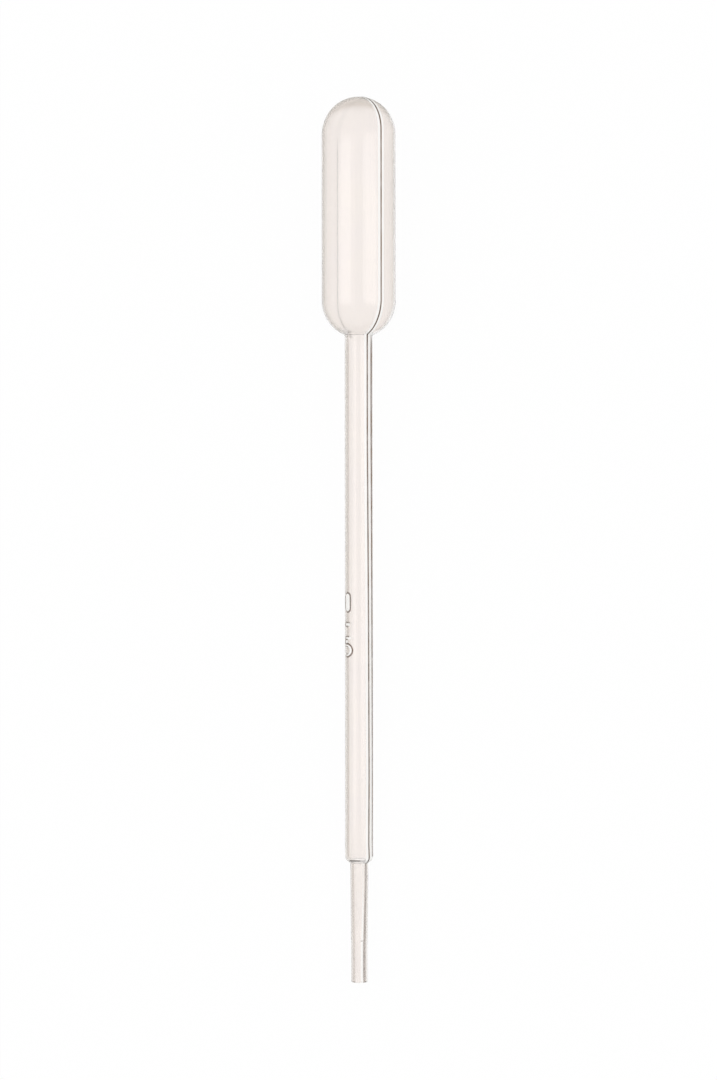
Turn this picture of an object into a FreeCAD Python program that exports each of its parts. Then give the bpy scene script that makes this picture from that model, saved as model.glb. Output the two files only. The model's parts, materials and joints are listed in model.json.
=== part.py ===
"""A transfer pipette, blow moulded in one piece from a soft clear plastic.

It lies on a bench as it comes to rest: on the round shoulder of its bulb and
on the lower end of its stem, with the drawn tip just clear of the surface.
Millimetres, +Z up, the bulb towards +Y and the open tip towards -Y.
"""
import FreeCAD, Part
import math
import os

# --- driving dimensions, in millimetres and degrees -------------------------

overall_length = 155.0        # top of the bulb's dome to the cut end of the tip

bulb_diameter = 13.0
bulb_length = 41.7            # top of the dome to the neck, where the stem starts
bulb_wall = 0.45

stem_diameter = 4.95
stem_wall = 0.60              # sets the bore, and so the volume each mark stands for

tip_length = 20.9             # below the stem
tip_top_diameter = 3.16
tip_foot_diameter = 2.88      # where the taper ends
tip_wall = 0.50

end_length = 7.3              # the straight end of the tip
end_diameter = 2.80

neck_fillet = 0.35            # hollow corner between the bulb's shoulder and the stem
step_round = 1.20             # rounded lower end of the stem
step_fillet = 0.20            # hollow corner between that round and the tip

seam_width = 0.35             # raised parting line left by the two mould halves
seam_height = 0.06
seam_angle = 41.2             # from straight up, towards +X

overrun = 2.0                 # the cavity is cut this far past the open end

# --- places along the axis: the dome's top is at 0 and the cut end at the last one

dome_radius = bulb_diameter / 2
stem_radius = stem_diameter / 2
neck_place = bulb_length
step_place = overall_length - tip_length
end_place = overall_length - end_length

X_AXIS = FreeCAD.Vector(1, 0, 0)
Y_AXIS = FreeCAD.Vector(0, 1, 0)
FULL_TURN = 360
LEVEL = 90                    # the parting plane as built, in degrees from straight up


def fall(radius, drop):
    """How far along the axis an arc, level at its start, runs while it drops."""
    return math.sqrt(radius ** 2 - (radius - drop) ** 2)


# The shoulder is round like the dome. The stem's end is a quarter of a round.
shoulder_place = neck_place - fall(dome_radius, dome_radius - stem_radius)
round_place = step_place - fall(step_round, stem_radius - tip_top_diameter / 2)


# --- the skin: one half outline, moved in or out by its zone's offset --------

def point(radius, place):
    return FreeCAD.Vector(radius, -place, 0)


def arc(centre, radius, start, stop):
    """Arc in the outline's plane, from and to an angle in radians."""
    stops = (start, (start + stop) / 2, stop)
    return Part.Arc(*[
        centre + FreeCAD.Vector(radius * math.cos(a), radius * math.sin(a), 0)
        for a in stops
    ]).toShape()


def shoulder(centre, radius, wall_radius, fillet):
    """A round that falls to a smaller tube, with a hollow fillet in the corner."""
    across = wall_radius + fillet - centre.x
    along = math.sqrt((radius + fillet) ** 2 - across ** 2)
    meeting = math.atan2(-along, across)
    hollow = centre + FreeCAD.Vector(across, -along, 0)
    return [
        arc(centre, radius, 0.0, meeting),
        arc(hollow, fillet, meeting + math.pi, math.pi),
    ]


def skin(bulb_offset, stem_offset, tip_offset, last_place):
    """Half section between the axis and the outer skin moved out by the offsets."""
    dome_centre = point(0, dome_radius)
    bulb_radius = dome_radius + bulb_offset
    top_radius = tip_top_diameter / 2 + tip_offset
    foot_radius = tip_foot_diameter / 2 + tip_offset
    end_radius = end_diameter / 2 + tip_offset

    dome = arc(dome_centre, bulb_radius, math.pi / 2, 0.0)
    bulb_foot = shoulder(
        point(0, shoulder_place), bulb_radius,
        stem_radius + stem_offset, neck_fillet - stem_offset,
    )
    stem_foot = shoulder(
        point(stem_radius - step_round, round_place), step_round + stem_offset,
        top_radius, step_fillet - tip_offset,
    )

    bulb_side = Part.makeLine(dome.lastVertex().Point, bulb_foot[0].firstVertex().Point)
    stem_side = Part.makeLine(bulb_foot[1].lastVertex().Point, stem_foot[0].firstVertex().Point)
    tail = Part.makePolygon([
        stem_foot[1].lastVertex().Point,
        point(foot_radius, end_place),
        point(end_radius, end_place),
        point(end_radius, last_place),
        point(0, last_place),
        dome.firstVertex().Point,
    ])
    edges = [dome, bulb_side, *bulb_foot, stem_side, *stem_foot, *tail.Edges]
    return Part.Face(Part.Wire(Part.__sortEdges__(edges)))


def turned(face):
    return face.revolve(FreeCAD.Vector(), Y_AXIS, FULL_TURN)


def parting_fin():
    """Thin plate in the parting plane, standing out of the skin all the way round."""
    half = skin(seam_height, seam_height, seam_height, overall_length)
    fin = half.extrude(FreeCAD.Vector(0, 0, seam_width))
    fin.translate(FreeCAD.Vector(0, 0, -seam_width / 2))
    return fin.fuse(fin.rotated(FreeCAD.Vector(), Y_AXIS, FULL_TURN / 2))


def pipette():
    body = turned(skin(0, 0, 0, overall_length))
    cavity = turned(skin(-bulb_wall, -stem_wall, -tip_wall, overall_length + overrun))
    return body.fuse(parting_fin()).cut(cavity).removeSplitter().Solids[0]


# --- at rest on the bench ---------------------------------------------------

def rest_tilt():
    """Angle, in radians, that brings both the bulb and the stem's end to the bench."""
    span = round_place - shoulder_place
    lever = stem_radius - step_round
    reach = math.hypot(span, lever)
    return math.asin((dome_radius - step_round) / reach) - math.atan2(lever, span)


def laid(solid):
    """Roll and tip the pipette onto the bench, centred over the origin."""
    solid.rotate(FreeCAD.Vector(), Y_AXIS, seam_angle - LEVEL)
    solid.rotate(FreeCAD.Vector(), X_AXIS, math.degrees(rest_tilt()))
    box = solid.optimalBoundingBox(False)
    solid.translate(FreeCAD.Vector(-box.Center.x, -box.Center.y, -box.ZMin))
    return solid


os.makedirs("parts", exist_ok=True)
whole = laid(pipette())
whole.exportStep("parts/pipette.step")
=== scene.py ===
import bpy
import json
import math
from mathutils import Matrix, Vector


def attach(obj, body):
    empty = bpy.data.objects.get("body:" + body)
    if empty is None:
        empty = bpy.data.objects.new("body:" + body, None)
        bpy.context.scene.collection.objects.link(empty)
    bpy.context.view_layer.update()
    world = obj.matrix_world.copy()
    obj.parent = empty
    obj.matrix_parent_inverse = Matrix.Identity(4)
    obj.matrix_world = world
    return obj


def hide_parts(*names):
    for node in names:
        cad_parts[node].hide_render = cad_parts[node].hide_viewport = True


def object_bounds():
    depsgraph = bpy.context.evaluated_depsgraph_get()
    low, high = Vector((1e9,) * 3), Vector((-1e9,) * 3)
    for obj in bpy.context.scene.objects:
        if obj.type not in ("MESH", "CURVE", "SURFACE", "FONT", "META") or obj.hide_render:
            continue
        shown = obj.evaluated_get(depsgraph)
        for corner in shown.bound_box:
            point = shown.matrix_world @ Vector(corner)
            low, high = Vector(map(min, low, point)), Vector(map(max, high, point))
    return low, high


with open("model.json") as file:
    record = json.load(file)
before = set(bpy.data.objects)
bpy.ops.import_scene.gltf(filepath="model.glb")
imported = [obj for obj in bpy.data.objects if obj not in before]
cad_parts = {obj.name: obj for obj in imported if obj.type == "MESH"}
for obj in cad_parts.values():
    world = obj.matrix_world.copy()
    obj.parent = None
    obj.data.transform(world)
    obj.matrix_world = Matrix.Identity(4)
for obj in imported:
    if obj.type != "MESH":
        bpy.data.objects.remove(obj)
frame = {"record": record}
cad_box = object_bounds()

MM = 0.001
TOUCHING = 0.001 * MM          # closer than this counts as one place

# --- sizes of the moulding ---------------------------------------------------
# The pipette is modelled upright in a frame of its own: the top of the bulb's
# dome at the origin, the open tip towards -Y, and the parting line at +X and -X.
# A place is a distance down the axis from the top of the dome.

mounts = {mount["name"]: mount for mount in frame["record"]["mounts"]}
spigot = mounts["tip_spigot"]
down = Vector(spigot["axis"])

BULB_RADIUS = (cad_box[1].x - cad_box[0].x) / 2 - 0.008 * MM
STEM_RADIUS = mounts["stem_shank"]["dims"]["r_mm"] * MM - 0.005 * MM
END_RADIUS = spigot["dims"]["r_mm"] * MM
END_LENGTH = spigot["dims"]["length_mm"] * MM

OVERALL_LENGTH = 155.0 * MM
BULB_LENGTH = 41.7 * MM
TIP_LENGTH = 20.9 * MM
TIP_TOP_RADIUS = 1.58 * MM
TIP_FOOT_RADIUS = 1.44 * MM

BULB_WALL = 0.45 * MM
STEM_WALL = 0.60 * MM
TIP_WALL = END_RADIUS - mounts["tip_bore"]["dims"]["r_mm"] * MM

NECK_FILLET = 0.35 * MM
STEP_ROUND = 1.20 * MM
STEP_FILLET = 0.20 * MM
TIP_SHELF = 0.12 * MM          # length of the tiny cone between the taper and the straight end
RIM_BEVEL = 0.05 * MM          # the cut end's edges are not quite sharp

SEAM_ANGLE = 41.2              # the parting line, in degrees from straight up towards +X
SEAM_HALF_WIDTH = 0.20 * MM
SEAM_HEIGHT = 0.058 * MM
LOW_LINE = 0.12 * MM           # where the ridge is low, its guide stands this far off the skin
FLASH_ANGLES = (21.5, 28.0)    # a second, broader line beside it on the stem, lower towards the tip
# The stem and tip twisted a little as they cooled: (from, to, degrees), as places in mm.
TWISTS = [(60, 92, -5.5), (92, 119, -2.2), (119, 131, 2.2), (131, 136, -6.2), (137, 149, 10.3)]

# Painted shade as short dark marks at the cut end, across the tip and at the corner of the step: a
# radius, degrees past the parting line, a place in mm, how far down in mm the mark goes, and how
# far round in degrees.
SHADE_MARKS = [
    (END_RADIUS, 6, 154.6, 0.35, 0), (END_RADIUS, 12, 154.7, 0.25, 0),
    (END_RADIUS, -78, 154.6, 0.3, 0),
    (TIP_FOOT_RADIUS + 0.12 * MM, 5, 147.75, 0, 32),
    (STEM_RADIUS - 0.08 * MM, -43, 133.62, 0, 45),
]

STROKE_HALF_WIDTH = 0.26 * MM
MARK_HEIGHT = 0.07 * MM        # how far the moulded figures stand out
MARK_SOFTNESS = 0.16 * MM      # width of the slope round a figure

LINE_REACH = 0.9 * MM          # how far round a moulded line its painted shade and highlight reach

WALL_WAVES = 0.025 * MM        # unevenness of the blown inner wall
WAVE_LENGTH = 8.0 * MM

# --- places down the axis -----------------------------------------------------


def fall(radius, drop):
    """How far along the axis an arc, level at its start, runs while it drops."""
    return math.sqrt(radius ** 2 - (radius - drop) ** 2)


SHOULDER_PLACE = BULB_LENGTH - fall(BULB_RADIUS, BULB_RADIUS - STEM_RADIUS)
STEP_PLACE = OVERALL_LENGTH - TIP_LENGTH
ROUND_PLACE = STEP_PLACE - fall(STEP_ROUND, STEM_RADIUS - TIP_TOP_RADIUS)
END_PLACE = OVERALL_LENGTH - END_LENGTH

# The figures read down the stem: where each one's middle is, and the nought's and the five's
# parts. A stroke is drawn along its middle.
NOUGHT_PLACE = 88.5 * MM
NOUGHT_HALF_WIDTH = 0.40 * MM
NOUGHT_HALF_HEIGHT = 1.42 * MM
DOT_PLACE = 92.35 * MM
FIVE_PLACE = 96.2 * MM
BAR_PLACE = FIVE_PLACE - 1.50 * MM
BOWL_PLACE = FIVE_PLACE + 0.66 * MM
BOWL_ASIDE = -0.12 * MM
FIGURE_TURN = -4.2             # they stand this many degrees off the middle of their columns
FIGURE_ROW = 0.07 * MM         # from one row of the mesh to the next across a figure

# --- drawing lines in edit mode -------------------------------------------------


def deselect_all():
    for thing in bpy.context.selected_objects:
        thing.select_set(False)


def select_only(*things):
    """Selects these and nothing else, with the first one active."""
    deselect_all()
    for thing in things:
        thing.select_set(True)
    bpy.context.view_layer.objects.active = things[0]


class Pen:
    """A line of vertices drawn in edit mode, one straight run or arc after another."""

    def __init__(self, name, x, y):
        deselect_all()
        bpy.ops.mesh.primitive_plane_add(size=MM, enter_editmode=True)
        bpy.ops.mesh.select_mode(type="VERT")
        bpy.ops.mesh.merge(type="CENTER")
        bpy.ops.transform.translate(value=(x, y, 0))
        self.thing = bpy.context.object
        self.thing.name = name
        self.at = Vector((x, y, 0))

    def line(self, x, y, steps=1):
        step = (Vector((x, y, 0)) - self.at) / steps
        if step.length > TOUCHING:
            for _ in range(steps):
                bpy.ops.mesh.extrude_vertices_move(TRANSFORM_OT_translate={"value": step})
        self.at = Vector((x, y, 0))

    def arc(self, x, y, angle, steps):
        """Turns clockwise about x, y by the angle."""
        centre = Vector((x, y, 0))
        bpy.ops.mesh.spin(steps=steps, angle=angle, center=centre, axis=(0, 0, 1))
        self.at = centre + Matrix.Rotation(-angle, 3, "Z") @ (self.at - centre)

    def sweep(self, angle, steps):
        """Turns about the pipette's axis, towards the figures."""
        bpy.ops.mesh.spin(steps=steps, angle=angle, center=(0, 0, 0), axis=(0, 1, 0))

    def lift(self):
        bpy.ops.object.mode_set(mode="OBJECT")
        return self.thing


def draw_shoulder(pen, x, place, radius, wall_radius, fillet, steps):
    """A round about x, place that falls to a smaller tube, and the hollow fillet in the corner."""
    across = wall_radius + fillet - x
    along = math.sqrt((radius + fillet) ** 2 - across ** 2)
    angle = math.atan2(along, across)
    pen.arc(x, -place, angle, steps)
    pen.arc(x + across, -place - along, -angle, max(steps // 4, 4))


def draw_skin(name, bulb_wall, stem_wall, tip_wall, stem_runs):
    """Half outline from the axis to the cut end, of the outer skin moved in by the walls."""
    pen = Pen(name, 0, -bulb_wall)
    bulb_radius = BULB_RADIUS - bulb_wall
    pen.arc(0, -BULB_RADIUS, math.radians(90), 26)
    pen.line(bulb_radius, -SHOULDER_PLACE, 12)
    draw_shoulder(pen, 0, SHOULDER_PLACE, bulb_radius, STEM_RADIUS - stem_wall,
                  NECK_FILLET + stem_wall, 24)
    for place, steps in stem_runs:
        pen.line(STEM_RADIUS - stem_wall, -place, steps)
    draw_shoulder(pen, STEM_RADIUS - STEP_ROUND, ROUND_PLACE, STEP_ROUND - stem_wall,
                  TIP_TOP_RADIUS - tip_wall, STEP_FILLET + tip_wall, 12)
    pen.line(TIP_FOOT_RADIUS - tip_wall, -END_PLACE + TIP_SHELF / 2, 6)
    pen.line(END_RADIUS - tip_wall, -END_PLACE - TIP_SHELF / 2)
    pen.line(END_RADIUS - tip_wall, -OVERALL_LENGTH, 5)
    return pen.lift()


def figure_runs():
    """Rows down the stem, as (place, steps): set close where the raised figures are."""
    runs = []
    for middle, reach, steps_before in (
        (NOUGHT_PLACE, 2.1 * MM, 14), (DOT_PLACE, 0.75 * MM, 2), (FIVE_PLACE, 2.2 * MM, 2),
    ):
        runs.append((middle - reach, steps_before))
        runs.append((middle + reach, round(2 * reach / FIGURE_ROW)))
    return runs + [(ROUND_PLACE, 14)]


# --- the moulding ------------------------------------------------------------------

# Columns round the axis, as (degrees, steps): close together at the parting line
# and across the figures, which face +Z between the two halves of the line.
SEAM_COLUMNS = [(2.4, 6), (3.6, 4), (4.8, 3)]
SEAM_REACH = sum(angle for angle, _ in SEAM_COLUMNS)
FIGURE_REACH = 31
BETWEEN = 90 - SEAM_REACH - FIGURE_REACH
COLUMNS = (
    SEAM_COLUMNS
    + [(BETWEEN, 18), (2 * FIGURE_REACH, 40), (BETWEEN, 18)]
    + SEAM_COLUMNS[::-1] + SEAM_COLUMNS
    + [(180 - 2 * SEAM_REACH, 60)]
    + SEAM_COLUMNS[::-1]
)


def join(first, *others):
    select_only(first, *others)
    bpy.ops.object.join()
    return first


def copy_of(thing, name):
    copy = thing.copy()
    copy.data = thing.data.copy()
    copy.name = name
    bpy.context.collection.objects.link(copy)
    return copy


def edit(thing):
    """Opens a piece in edit mode with nothing selected."""
    select_only(thing)
    bpy.ops.object.mode_set(mode="EDIT")
    bpy.ops.mesh.select_mode(type="VERT")
    bpy.ops.mesh.select_all(action="DESELECT")


def select_in_mesh(thing, chosen):
    """Selects the vertices whose place passes a test, from edit mode."""
    bpy.ops.object.mode_set(mode="OBJECT")
    for vertex in thing.data.vertices:
        vertex.select = chosen(vertex.co)
    bpy.ops.object.mode_set(mode="EDIT")


def at_cut_end(co):
    return co.y < -OVERALL_LENGTH + TOUCHING


def turn_solid(outline):
    """Spins the closed outline round the axis and closes the seam and the poles."""
    edit(outline)
    bpy.ops.mesh.select_all(action="SELECT")
    for angle, steps in COLUMNS:
        bpy.ops.mesh.spin(steps=steps, angle=math.radians(angle), center=(0, 0, 0), axis=(0, 1, 0))
    bpy.ops.mesh.select_all(action="SELECT")
    bpy.ops.mesh.remove_doubles(threshold=TOUCHING / 2)
    bpy.ops.mesh.normals_make_consistent(inside=False)
    bpy.ops.object.mode_set(mode="OBJECT")


def bevel_rim(body):
    """Takes the edge off the cut end, inside and outside."""
    edit(body)
    select_in_mesh(body, at_cut_end)
    bpy.ops.mesh.select_mode(type="EDGE")
    bpy.ops.mesh.region_to_loop()
    bpy.ops.mesh.bevel(offset=RIM_BEVEL, segments=3, affect="EDGES")
    bpy.ops.object.mode_set(mode="OBJECT")


def apply_modifiers(thing):
    select_only(thing)
    for modifier in list(thing.modifiers):
        bpy.ops.object.modifier_apply(modifier=modifier.name)


def measure_nearness(body, guide, name, full, foot, falloff):
    """Weighs the outer skin by how near a guide's lines are: 1 within `full`, 0 past `foot`."""
    inside = body.vertex_groups["inside"].index
    outer = [
        vertex.index for vertex in body.data.vertices
        if all(member.group != inside for member in vertex.groups)
    ]
    group = body.vertex_groups.new(name=name)
    group.add(outer, 1.0, "REPLACE")
    nearness = body.modifiers.new(name + "_nearness", "VERTEX_WEIGHT_PROXIMITY")
    nearness.vertex_group = name
    nearness.target = guide
    nearness.proximity_mode = "GEOMETRY"
    nearness.proximity_geometry = {"EDGE"}
    nearness.min_dist = foot
    nearness.max_dist = full
    nearness.falloff_type = falloff
    apply_modifiers(body)


def raise_along(body, guide, name, full, foot, height):
    """Swells the skin along a guide's lines."""
    measure_nearness(body, guide, name, full, foot, "SMOOTH")
    swelling = body.modifiers.new(name + "_swelling", "DISPLACE")
    swelling.vertex_group = name
    swelling.direction = "NORMAL"
    swelling.strength = height
    swelling.mid_level = 0.0
    apply_modifiers(body)


def draw_ring(name, place, half_width, half_height):
    """A closed line with straight sides and round ends."""
    radius = min(half_width, half_height)
    across, along = half_width - radius, half_height - radius
    pen = Pen(name, -half_width, -place - along)
    pen.line(-half_width, -place + along, 12)
    pen.arc(-across, -place + along, math.radians(90), 7)
    pen.line(across, -place + half_height, 4)
    pen.arc(across, -place + along, math.radians(90), 7)
    pen.line(half_width, -place - along, 12)
    pen.arc(across, -place - along, math.radians(90), 7)
    pen.line(-across, -place - half_height, 4)
    pen.arc(-across, -place - along, math.radians(90), 7)
    return pen.lift()


def draw_dot():
    pen = Pen("dot", -0.30 * MM, -DOT_PLACE)
    pen.line(0.25 * MM, -DOT_PLACE, 4)
    return pen.lift()


def draw_five():
    pen = Pen("five", 0.45 * MM, -BAR_PLACE)
    pen.line(-0.35 * MM, -BAR_PLACE, 10)
    pen.line(-0.38 * MM, -FIVE_PLACE + 0.15 * MM, 10)
    pen.arc(BOWL_ASIDE, -BOWL_PLACE, math.radians(232), 30)
    return pen.lift()


def draw_counter():
    """A stroke down the middle of the nought, whose face gets a painted highlight all over."""
    pen = Pen("nought_counter", 0, -NOUGHT_PLACE - 0.9 * MM)
    pen.line(0, -NOUGHT_PLACE + 0.9 * MM, 12)
    return pen.lift()


def draw_outlines():
    """The edges of the moulded figures that get painted shade: each figure's broad left side, the
    nought's and the five's round."""
    sides = [draw_ring("nought_outline", NOUGHT_PLACE, NOUGHT_HALF_WIDTH + STROKE_HALF_WIDTH,
                       NOUGHT_HALF_HEIGHT + STROKE_HALF_WIDTH)]
    for aside, place, half_length in (
        (-0.85, NOUGHT_PLACE, 1.05 * MM),
        (-0.72, FIVE_PLACE - 1.05 * MM, 0.55 * MM), (-0.92, FIVE_PLACE - 1.05 * MM, 0.55 * MM),
        (-0.84, DOT_PLACE, 0.25 * MM),
    ):
        side = Pen("left_side", aside * MM, -place - half_length)
        side.line(aside * MM, -place + half_length, 8)
        sides.append(side.lift())
    bowl = Pen("five_outline", -0.45 * MM, -FIVE_PLACE + 0.47 * MM)
    bowl.line(-0.16 * MM, -FIVE_PLACE + 0.47 * MM, 5)
    bowl.arc(BOWL_ASIDE, -BOWL_PLACE, math.radians(205), 30)
    sides.append(bowl.lift())
    return join(*sides)


def draw_weak_outlines():
    """The edges that get fainter painted shade: the five's bar and bowl inside, and the dot."""
    bar = Pen("five_bar", 0.30 * MM, -BAR_PLACE + 0.26 * MM)
    bar.line(-0.55 * MM, -BAR_PLACE + 0.26 * MM, 8)
    bar.lift()
    under_bar = Pen("five_under_bar", -0.15 * MM, -BAR_PLACE - 0.28 * MM)
    under_bar.line(-0.55 * MM, -BAR_PLACE - 0.28 * MM, 4)
    under_bar.lift()
    bowl = Pen("five_bowl", -0.50 * MM, -FIVE_PLACE - 0.02 * MM)
    bowl.line(-0.30 * MM, -FIVE_PLACE - 0.02 * MM, 3)
    bowl.arc(-0.30 * MM, -FIVE_PLACE - 0.67 * MM, math.radians(195), 20)
    bowl.lift()
    dot = Pen("dot_outline", 0.05 * MM, -DOT_PLACE - 0.36 * MM)
    dot.line(-0.50 * MM, -DOT_PLACE - 0.36 * MM, 6)
    dot.arc(-0.50 * MM, -DOT_PLACE, math.radians(180), 10)
    dot.line(0.40 * MM, -DOT_PLACE + 0.36 * MM, 8)
    return join(bar.thing, under_bar.thing, bowl.thing, dot.lift())


def lay_on_skin(guide, body, above=0.0):
    """Brings strokes that were drawn flat down onto the stem."""
    edit(guide)
    bpy.ops.mesh.select_all(action="SELECT")
    bpy.ops.transform.translate(value=(0, 0, 2 * STEM_RADIUS))
    bpy.ops.object.mode_set(mode="OBJECT")
    wrap = guide.modifiers.new("wrap", "SHRINKWRAP")
    wrap.wrap_method = "PROJECT"
    wrap.use_project_z = True
    wrap.use_negative_direction = True
    wrap.use_positive_direction = False
    wrap.offset = above
    wrap.target = body
    apply_modifiers(guide)
    guide.data.transform(Matrix.Rotation(math.radians(FIGURE_TURN), 4, "Y"))
    return guide


def draw_parting_line(outline):
    """The line of the two mould halves, from the cut end over the dome and back. Its half with
    no second line beside it is low on the dome, the stem and the tip."""
    half = copy_of(outline, "parting_guide")
    edit(half)
    select_in_mesh(half, at_cut_end)
    bpy.ops.transform.translate(value=(0, SEAM_HALF_WIDTH, 0))
    bpy.ops.object.mode_set(mode="OBJECT")
    other_half = copy_of(half, "parting_guide_other_half")
    other_half.data.transform(Matrix.Rotation(math.radians(180), 4, "Y"))
    larger = 1 + LOW_LINE / BULB_RADIUS
    edit(other_half)
    select_in_mesh(other_half, lambda co: co.y > -BULB_RADIUS)
    bpy.ops.transform.resize(value=(larger, larger, larger), center_override=(0, -BULB_RADIUS, 0))
    select_in_mesh(other_half, lambda co: co.y < -BULB_LENGTH)
    bpy.ops.transform.translate(value=(-LOW_LINE, 0, 0))
    bpy.ops.object.mode_set(mode="OBJECT")
    return join(half, other_half)


def draw_flash_line():
    """On the stem a second, broader line runs beside the parting line, drawn as two."""
    lines = []
    for angle in FLASH_ANGLES:
        pen = Pen("flash_guide", STEM_RADIUS + 0.15 * MM, -BULB_LENGTH - 0.2 * MM)
        pen.line(STEM_RADIUS, -BULB_LENGTH - 0.7 * MM, 3)
        pen.line(STEM_RADIUS + 0.12 * MM, -ROUND_PLACE, 40)
        line = pen.lift()
        line.data.transform(Matrix.Rotation(math.radians(angle), 4, "Y"))
        lines.append(line)
    return join(*lines)


def draw_shade_marks():
    """Short dark marks of painted shade at the cut end, across the tip and at the step."""
    dashes = []
    for radius, angle, place, length, sweep in SHADE_MARKS:
        pen = Pen("mark", radius, -place * MM)
        pen.line(radius, -(place + length) * MM, 2)
        if sweep:
            pen.sweep(math.radians(sweep), 6)
        dash = pen.lift()
        dash.data.transform(Matrix.Rotation(math.radians(angle), 4, "Y"))
        dashes.append(dash)
    return join(*dashes)


def twist_below(body, place, until, angle):
    """Twists what lies between two places, and carries everything below round with it."""
    pivot = bpy.data.objects.new("twist_pivot", None)
    bpy.context.collection.objects.link(pivot)
    pivot.location = (0, -place, 0)
    bpy.context.view_layer.update()
    twist = body.modifiers.new("twist", "SIMPLE_DEFORM")
    twist.deform_method = "TWIST"
    twist.deform_axis = "Y"
    twist.origin = pivot
    twist.angle = angle
    twist.limits = (1 - until / OVERALL_LENGTH, 1 - place / OVERALL_LENGTH)
    apply_modifiers(body)
    bpy.data.objects.remove(pivot)


def keep_as_attribute(body, group, name):
    """Copies a vertex group's weights to an attribute that the material reads."""
    index = body.vertex_groups[group].index
    attribute = body.data.attributes.new(name, "FLOAT", "POINT")
    for vertex in body.data.vertices:
        for member in vertex.groups:
            if member.group == index:
                attribute.data[vertex.index].value = member.weight


def laid_on_bench():
    """From the upright frame to where the pipette lies."""
    cut_centre = Vector(spigot["pos_m"]) + down * END_LENGTH / 2
    tilt = math.atan2(-down.z, -down.y)
    return (
        Matrix.Translation(cut_centre - down * OVERALL_LENGTH)
        @ Matrix.Rotation(tilt, 4, "X")
        @ Matrix.Rotation(math.radians(SEAM_ANGLE - 90), 4, "Y")
    )


def bench_y(place):
    """How far along the bench a place on the pipette's axis lies."""
    return (laid_on_bench() @ Vector((0, -place, 0))).y


def mould_pipette():
    outer = draw_skin("pipette_moulding", 0, 0, 0, figure_runs())
    inner = draw_skin("inner_outline", BULB_WALL, STEM_WALL, TIP_WALL, [(ROUND_PLACE, 30)])
    inside = inner.vertex_groups.new(name="inside")
    inside.add(range(len(inner.data.vertices)), 1.0, "REPLACE")

    parting_guide = draw_parting_line(outer)
    flash_guide = draw_flash_line()

    body = join(outer, inner)
    edit(body)
    select_in_mesh(body, at_cut_end)
    bpy.ops.mesh.edge_face_add()
    turn_solid(body)
    bevel_rim(body)

    waves = bpy.data.textures.new("wall_waves", "CLOUDS")
    waves.noise_scale = WAVE_LENGTH
    waves.noise_depth = 0
    unevenness = body.modifiers.new("unevenness", "DISPLACE")
    unevenness.texture = waves
    unevenness.texture_coords = "LOCAL"
    unevenness.vertex_group = "inside"
    unevenness.strength = WALL_WAVES
    apply_modifiers(body)

    raise_along(body, parting_guide, "parting_line", 0.0, SEAM_HALF_WIDTH, SEAM_HEIGHT)
    raise_along(body, flash_guide, "flash_line", 0.0, SEAM_HALF_WIDTH, SEAM_HEIGHT)
    figures = [
        draw_ring("nought", NOUGHT_PLACE, NOUGHT_HALF_WIDTH, NOUGHT_HALF_HEIGHT),
        draw_dot(),
        draw_five(),
    ]
    for guide in figures:
        lay_on_skin(guide, body)
        raise_along(body, guide, guide.name, STROKE_HALF_WIDTH - MARK_SOFTNESS / 2,
                    STROKE_HALF_WIDTH + MARK_SOFTNESS / 2, MARK_HEIGHT)
    figure_lines = join(
        lay_on_skin(draw_outlines(), body),
        lay_on_skin(draw_weak_outlines(), body, 0.10 * MM),
        draw_shade_marks(),
    )
    # The figures' faces, which get a painted highlight.
    faces = join(*figures, lay_on_skin(draw_counter(), body))
    lines = join(parting_guide, flash_guide)
    for guide, name in (
        (lines, "line_nearness"), (figure_lines, "outline_nearness"), (faces, "face_nearness"),
    ):
        measure_nearness(body, guide, name, 0.0, LINE_REACH, "LINEAR")

    for start, end, angle in TWISTS:
        twist_below(body, start * MM, end * MM, math.radians(angle))
    for group, name in (
        ("line_nearness", "moulded_line"), ("inside", "inner_wall"),
        ("outline_nearness", "figure_outline"), ("face_nearness", "figure_face"),
    ):
        keep_as_attribute(body, group, name)

    for guide in (lines, figure_lines, faces):
        bpy.data.objects.remove(guide)
    select_only(body)
    bpy.ops.object.shade_smooth()
    body.data.transform(laid_on_bench())
    return body


# --- materials --------------------------------------------------------------------


def srgb(code):
    """Linear colour from an sRGB hex code."""
    shares = [int(code[i:i + 2], 16) / 255 for i in (0, 2, 4)]
    linear = [c / 12.92 if c <= 0.04045 else ((c + 0.055) / 1.055) ** 2.4 for c in shares]
    return (*linear, 1.0)


def add_node(tree, kind, settings, links):
    """Adds a node, sets its properties and sockets by name, and links its sockets."""
    node = tree.nodes.new(kind)
    for name, value in settings.items():
        if isinstance(name, str) and hasattr(node, name):
            setattr(node, name, value)
        else:
            node.inputs[name].default_value = value
    for name, source in links.items():
        tree.links.new(source, node.inputs[name])
    return node


def empty_material(name):
    material = bpy.data.materials.new(name)
    material.use_nodes = True
    material.node_tree.nodes.clear()
    return material, material.node_tree


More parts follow.
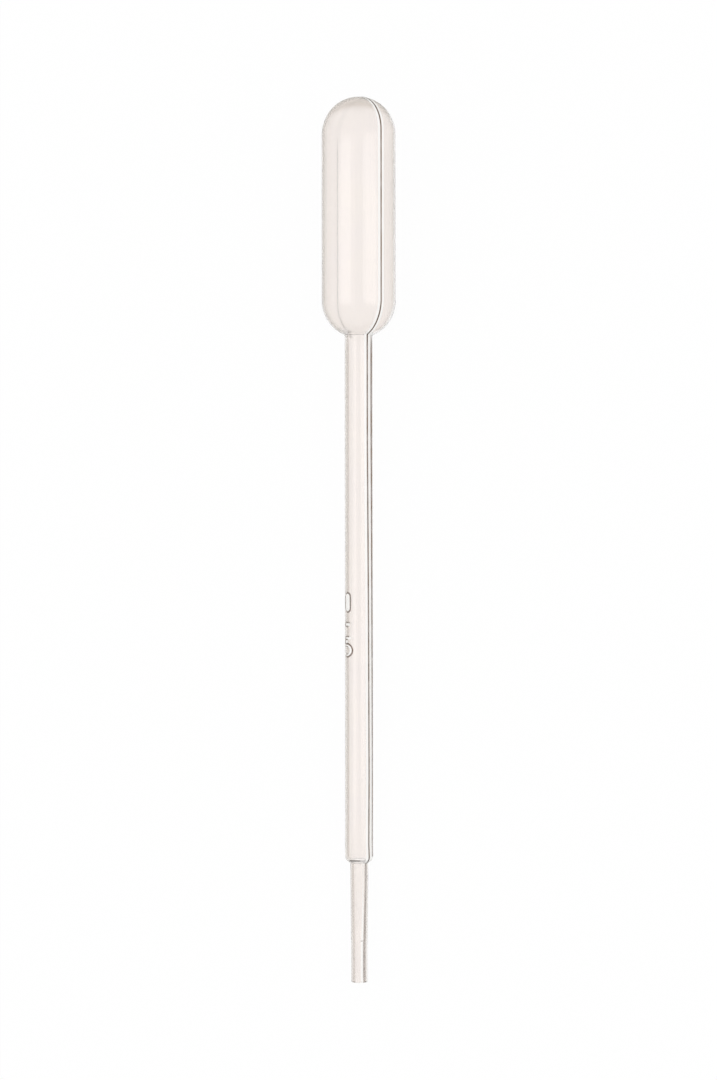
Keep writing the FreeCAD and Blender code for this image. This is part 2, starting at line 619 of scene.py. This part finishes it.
def moulded_ldpe():
    """Natural low-density polyethylene, blow moulded: a waxy, slightly hazy skin with a
    soft sheen and a faint warm depth. Along the moulded lines the ridge turns the light
    away; that shade is painted as a dark line, between flanks with a painted highlight."""
    material, tree = empty_material("moulded_ldpe")
    place = add_node(tree, "ShaderNodeTexCoord", {}, {}).outputs["Object"]
    spot = add_node(tree, "ShaderNodeSeparateXYZ", {}, {"Vector": place})
    along, across = spot.outputs["Y"], spot.outputs["X"]
    inside = add_node(tree, "ShaderNodeNewGeometry", {}, {}).outputs["Backfacing"]
    lines, outlines, faces, inner = [
        add_node(tree, "ShaderNodeAttribute", {"attribute_name": name}, {}).outputs["Fac"]
        for name in ("moulded_line", "figure_outline", "figure_face", "inner_wall")
    ]
    # The melt isn't quite even, and the tube was drawn out before it was blown, so that the
    # wax of its surface is streaked along the axis. The moulded lines are mottled.
    drawn = add_node(tree, "ShaderNodeMapping", {"Scale": (1.0, 0.12, 1.0)}, {"Vector": place})
    clouds, mottling, wax = [
        add_node(tree, "ShaderNodeTexNoise", {"Scale": 1 / size, "Detail": detail}, {
            "Vector": vector,
        }).outputs["Fac"]
        for size, detail, vector in (
            (7.0 * MM, 4.0, place),
            (2.5 * MM, 3.0, place),
            (3.0 * MM, 2.0, drawn.outputs["Vector"]),
        )
    ]
    step, neck = bench_y(STEP_PLACE), bench_y(BULB_LENGTH)
    bulb_middle = bench_y((BULB_RADIUS + SHOULDER_PLACE) / 2)
    straight_half = (SHOULDER_PLACE - BULB_RADIUS) / 2
    off_middle = add_node(tree, "ShaderNodeMath", {"operation": "SUBTRACT", 1: bulb_middle}, {
        0: along,
    })
    from_middle = add_node(tree, "ShaderNodeMath", {"operation": "ABSOLUTE"}, {
        0: off_middle.outputs["Value"],
    }).outputs["Value"]

    # Smooth ramps: what each one follows, where it starts and ends, and its level at both.
    ramps = {
        "tip": (along, step - 0.9 * MM, step + 0.6 * MM, 1.0, 0.0),
        "above_neck": (along, neck - 2.3 * MM, neck - 0.8 * MM, 0.0, 1.0),
        "bulb_end": (from_middle, straight_half, straight_half + 2.2 * MM, 0.0, 1.0),
        "mottled": (mottling, 0.35, 0.60, 0.90, 1.0),
        "straight_ridge": (lines, 0.76, 0.89, 0.0, 1.0),
        "curved_ridge": (lines, 0.79, 0.88, 0.0, 1.0),
        "dense_ridge": (lines, 0.79, 0.88, 0.0, 0.6),
        "tip_ridge": (lines, 0.52, 0.88, 0.0, 0.65),
        "outline": (outlines, 0.74, 0.92, 0.0, 1.0),
        "flank": (lines, 0.15, 0.42, 0.0, 1.0),
        "face": (faces, 0.58, 0.74, 0.0, 1.0),
        "outer_side": (across, 0.70 * MM, 0.90 * MM, 1.0, 0.0),
        "through_wall": (inside, 0.0, 1.0, 1.0, 0.06),
        "outer_skin": (inner, 0.0, 1.0, 1.0, 0.0),
        "near_skin": (inside, 0.0, 1.0, 1.0, 0.0),
        "corner_start": (along, step - 0.3 * MM, step + 0.2 * MM, 0.0, 1.0),
        "corner_end": (along, step + 0.7 * MM, step + 1.3 * MM, 1.0, 0.0),
        "corner_side": (across, -1.8 * MM, -0.2 * MM, 0.30, 0.55),
        "neck_start": (along, neck - 0.5 * MM, neck, 0.0, 1.0),
        "neck_end": (along, neck + 0.4 * MM, neck + 1.0 * MM, 1.0, 0.0),
        "neck_side": (across, -2.2 * MM, -1.2 * MM, 0.5, 0.0),
        "melt": (clouds, 0.3, 0.7, 0.0, 1.0),
        "dull": (wax, 0.3, 0.7, 0.06, 0.10),
    }
    ramp = {}
    for name, (value, start, end, low, high) in ramps.items():
        ramp[name] = add_node(tree, "ShaderNodeMapRange", {
            "interpolation_type": "SMOOTHSTEP",
            "From Min": start, "From Max": end, "To Min": low, "To Max": high,
        }, {"Value": value}).outputs["Result"]

    # Shares that multiply. Seen from inside, through the far wall, the painted lines are faint. The
    # line is made less clear on the bulb's ends, so its painted shade shows darker there, and the
    # plastic is milky in the thick corners, at the step on one side more than on the other.
    products = {
        "bulb_ends": ("bulb_end", "above_neck"),
        "dense_ends": ("dense_ridge", "bulb_end", "above_neck", "near_skin"),
        "straight": ("straight_ridge", "mottled"),
        "figures": ("outline", "mottled", "through_wall"),
        "flanks": ("flank", "through_wall"),
        "faces": ("face", "through_wall"),
        "step_corner": ("corner_side", "corner_start", "corner_end", "outer_skin", "near_skin"),
        "neck_corner": ("neck_side", "neck_start", "neck_end"),
    }
    share = {}
    for name, (first, *others) in products.items():
        share[name] = ramp[first]
        for other in others:
            share[name] = add_node(tree, "ShaderNodeMath", {"operation": "MULTIPLY"}, {
                0: share[name], 1: ramp[other],
            }).outputs["Value"]

    # Down to the step the line's painted shade is crisp, and darker where the bulb curves in. On
    # the thick narrow tip it is broad and soft, and only its inner flank gets the painted
    # highlight.
    crisp = add_node(tree, "ShaderNodeMix", {}, {
        "Factor": share["bulb_ends"], "A": share["straight"], "B": ramp["curved_ridge"],
    })
    ridge = add_node(tree, "ShaderNodeMix", {}, {
        "Factor": ramp["tip"], "A": crisp.outputs["Result"], "B": ramp["tip_ridge"],
    })
    near_ridge = add_node(tree, "ShaderNodeMath", {"operation": "MULTIPLY"}, {
        0: ridge.outputs["Result"], 1: ramp["through_wall"],
    })
    # Painted shade: the ridge, and the figures' outlines and marks.
    dark = add_node(tree, "ShaderNodeMath", {"operation": "MAXIMUM"}, {
        0: near_ridge.outputs["Value"], 1: share["figures"],
    }).outputs["Value"]
    flank_side = add_node(tree, "ShaderNodeMix", {"A": 1.0}, {
        "Factor": ramp["tip"], "B": ramp["outer_side"],
    })
    flanks = add_node(tree, "ShaderNodeMath", {"operation": "MULTIPLY"}, {
        0: share["flanks"], 1: flank_side.outputs["Result"],
    })
    pale = add_node(tree, "ShaderNodeMath", {"operation": "MAXIMUM"}, {
        0: flanks.outputs["Value"], 1: share["faces"],
    })
    # Painted highlight on the ridge's flanks and the figures' faces, with none where the painted
    # shade is.
    painted_highlight = add_node(tree, "ShaderNodeMix", {"B": 0.0}, {
        "Factor": dark, "A": pale.outputs["Value"],
    }).outputs["Result"]
    # Where the painted highlight is, the skin lets less light through and shows whiter.
    clearness = add_node(tree, "ShaderNodeMapRange", {"To Min": 0.97, "To Max": 0.25}, {
        "Value": painted_highlight,
    })
    corners = add_node(tree, "ShaderNodeMath", {"operation": "MAXIMUM"}, {
        0: share["step_corner"], 1: share["neck_corner"],
    })
    dense = add_node(tree, "ShaderNodeMath", {"operation": "MAXIMUM"}, {
        0: corners.outputs["Value"], 1: share["dense_ends"],
    })
    clear = add_node(tree, "ShaderNodeMix", {"B": 0.0}, {
        "Factor": dense.outputs["Value"], "A": clearness.outputs["Result"],
    })

    colour = add_node(tree, "ShaderNodeMix", {
        "data_type": "RGBA", 6: srgb("FFFBF8"), 7: srgb("FEFAF8"),
    }, {"Factor": ramp["melt"]})
    # Painted highlight whitens flanks and figure faces, then painted shade darkens ridge and
    # outlines.
    for whose, code in ((painted_highlight, "FFFFFD"), (dark, "4A3222")):
        colour = add_node(tree, "ShaderNodeMix", {"data_type": "RGBA", 7: srgb(code)}, {
            "Factor": whose, 6: colour.outputs[2],
        })
    dents = add_node(tree, "ShaderNodeBump", {"Strength": 0.2, "Distance": 0.02 * MM}, {
        "Height": wax,
    })
    skin = add_node(tree, "ShaderNodeBsdfPrincipled", {"IOR": 1.51}, {
        "Base Color": colour.outputs[2],
        "Roughness": ramp["dull"],
        "Transmission Weight": clear.outputs["Result"],
        "Normal": dents.outputs["Normal"],
    })
    depth = add_node(tree, "ShaderNodeVolumeAbsorption", {
        "Color": srgb("B9B3AC"), "Density": 60.0,
    }, {})
    add_node(tree, "ShaderNodeOutputMaterial", {}, {
        "Surface": skin.outputs["BSDF"],
        "Volume": depth.outputs["Volume"],
    })
    return material


def bench_surface():
    """A matt white bench that shows as plain white, with the pipette's soft shadow on it. Seen
    through the plastic it is a painted glow, white as wide as the pipette and grey beyond, a
    painted shade that makes the walls seen edge on stand out grey."""
    material, tree = empty_material("bench_surface")
    place = add_node(tree, "ShaderNodeTexCoord", {}, {}).outputs["Object"]
    spot = add_node(tree, "ShaderNodeSeparateXYZ", {}, {"Vector": place})
    step, neck = bench_y(STEP_PLACE), bench_y(BULB_LENGTH)
    cut = bench_y(OVERALL_LENGTH)

    # Half the shining width is what these ramps along the bench add up to.
    half_width, *wider = [
        add_node(tree, "ShaderNodeMapRange", {
            "interpolation_type": kind,
            "From Min": start, "From Max": end, "To Min": low, "To Max": high,
        }, {"Value": spot.outputs["Y"]}).outputs["Result"]
        for kind, start, end, low, high in (
            ("LINEAR", cut, step, 1.50 * MM, 2.25 * MM),
            ("SMOOTHSTEP", step - 0.9 * MM, step + 1.1 * MM, 0.0, 1.30 * MM),
            ("LINEAR", step, neck, 0.0, 1.8 * MM),
            ("SMOOTHSTEP", neck - 1.8 * MM, neck + 2.2 * MM, 0.0, 5.6 * MM),
        )
    ]
    for more in wider:
        half_width = add_node(tree, "ShaderNodeMath", {"operation": "ADD"}, {
            0: half_width, 1: more,
        }).outputs["Value"]
    aside, beyond = [
        add_node(tree, "ShaderNodeMath", {"operation": "ABSOLUTE"}, {
            0: spot.outputs[axis],
        }).outputs["Value"]
        for axis in "XY"
    ]
    spread = add_node(tree, "ShaderNodeMath", {"operation": "DIVIDE"}, {0: aside, 1: half_width})
    within_width, within_length = [
        add_node(tree, "ShaderNodeMapRange", {
            "interpolation_type": "SMOOTHSTEP",
            "From Min": start, "From Max": end, "To Min": 1.0, "To Max": 0.0,
        }, {"Value": value}).outputs["Result"]
        for value, start, end in (
            (spread.outputs["Value"], 0.84, 1.22),
            (beyond, OVERALL_LENGTH / 2 - 0.5 * MM, OVERALL_LENGTH / 2 + 2.0 * MM),
        )
    ]
    shining = add_node(tree, "ShaderNodeMath", {"operation": "MULTIPLY"}, {
        0: within_width, 1: within_length,
    }).outputs["Value"]

    path = add_node(tree, "ShaderNodeLightPath", {}, {})
    full = add_node(tree, "ShaderNodeMath", {"operation": "MAXIMUM"}, {
        0: path.outputs["Is Camera Ray"], 1: shining,
    })
    # Painted glow and shade: through the plastic, white within the strip and grey beyond it.
    light = add_node(tree, "ShaderNodeMix", {
        "data_type": "RGBA", 6: srgb("DDD9D4"), 7: (1, 1, 1, 1),
    }, {"Factor": full.outputs["Value"]})
    seen = add_node(tree, "ShaderNodeMath", {"operation": "MULTIPLY", 1: 0.97}, {
        0: path.outputs["Is Camera Ray"],
    })
    through = add_node(tree, "ShaderNodeMath", {"operation": "MAXIMUM"}, {
        0: path.outputs["Is Glossy Ray"], 1: path.outputs["Is Transmission Ray"],
    })
    glowing = add_node(tree, "ShaderNodeMath", {"operation": "MAXIMUM"}, {
        0: seen.outputs["Value"], 1: through.outputs["Value"],
    })
    paint = add_node(tree, "ShaderNodeBsdfDiffuse", {"Color": srgb("F4F4F4")}, {})
    glow = add_node(tree, "ShaderNodeEmission", {"Strength": 1.0}, {"Color": light.outputs[2]})
    both = add_node(tree, "ShaderNodeMixShader", {}, {
        0: glowing.outputs["Value"],
        1: paint.outputs["BSDF"],
        2: glow.outputs["Emission"],
    })
    add_node(tree, "ShaderNodeOutputMaterial", {}, {"Surface": both.outputs["Shader"]})
    return material


# --- bench, light and camera -----------------------------------------------------------

BENCH_SIZE = 6.0
SOFTBOX_WIDTH = 0.45
SOFTBOX_LENGTH = 0.9
SOFTBOX_HEIGHT = 0.85          # above the bench

CAMERA_LENS = 81.0
CAMERA_SENSOR = 36.0
CAMERA_DISTANCE = 426 * MM
CAMERA_PLACE = 77.6 * MM       # what it looks at, down the axis from the top of the dome
CAMERA_TO_SEAM = 36.8          # the parting line shows this many degrees to the right
CAMERA_ASIDE = -0.08 * MM      # the camera stands a hair to the left, and is not quite level
CAMERA_ROLL = math.radians(-0.055)


def lay_bench():
    deselect_all()
    bpy.ops.mesh.primitive_plane_add(size=BENCH_SIZE)
    bench = bpy.context.object
    bench.name = "bench"
    bench.data.materials.append(bench_surface())


def light_studio():
    world = bpy.data.worlds.new("studio")
    bpy.context.scene.world = world
    world.use_nodes = True
    tree = world.node_tree
    tree.nodes.clear()
    path = add_node(tree, "ShaderNodeLightPath", {}, {})
    room = add_node(tree, "ShaderNodeBackground", {"Color": srgb("F6F6F6"), "Strength": 1.0}, {})
    white = add_node(tree, "ShaderNodeBackground", {"Color": (1, 1, 1, 1), "Strength": 1.0}, {})
    both = add_node(tree, "ShaderNodeMixShader", {}, {
        0: path.outputs["Is Camera Ray"],
        1: room.outputs["Background"],
        2: white.outputs["Background"],
    })
    add_node(tree, "ShaderNodeOutputWorld", {}, {"Surface": both.outputs["Shader"]})

    for name, across, energy in (("left_softbox", -0.75, 0.9), ("right_softbox", 0.70, 0.75)):
        softbox = bpy.data.lights.new(name, "AREA")
        softbox.shape = "RECTANGLE"
        softbox.size = SOFTBOX_WIDTH
        softbox.size_y = SOFTBOX_LENGTH
        softbox.energy = energy
        lamp = bpy.data.objects.new(name, softbox)
        bpy.context.collection.objects.link(lamp)
        lamp.location = (across, 0.0, SOFTBOX_HEIGHT)
        lamp.rotation_euler = lamp.location.to_track_quat("Z", "Y").to_euler()


def place_camera(laid):
    data = bpy.data.cameras.new("camera")
    data.lens = CAMERA_LENS
    data.sensor_width = CAMERA_SENSOR
    data.clip_start = 0.01
    camera = bpy.data.objects.new("camera", data)
    bpy.context.collection.objects.link(camera)
    bpy.context.scene.camera = camera
    seam_to_camera = math.radians(CAMERA_TO_SEAM)
    aside = Vector((math.cos(seam_to_camera), 0, math.sin(seam_to_camera)))
    target = Vector((0, -CAMERA_PLACE, 0))
    across = Vector((math.sin(seam_to_camera), 0, -math.cos(seam_to_camera)))
    upright = Matrix.Translation(target + aside * CAMERA_DISTANCE + across * CAMERA_ASIDE)
    upright @= Matrix((across, (0, 1, 0), aside)).transposed().to_4x4()
    camera.matrix_world = laid @ upright @ Matrix.Rotation(CAMERA_ROLL, 4, "Z")


pipette = mould_pipette()
pipette.data.materials.append(moulded_ldpe())
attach(pipette, "root")
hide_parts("pipette")

lay_bench()
light_studio()
place_camera(laid_on_bench())
bpy.context.scene.view_settings.view_transform = "Standard"
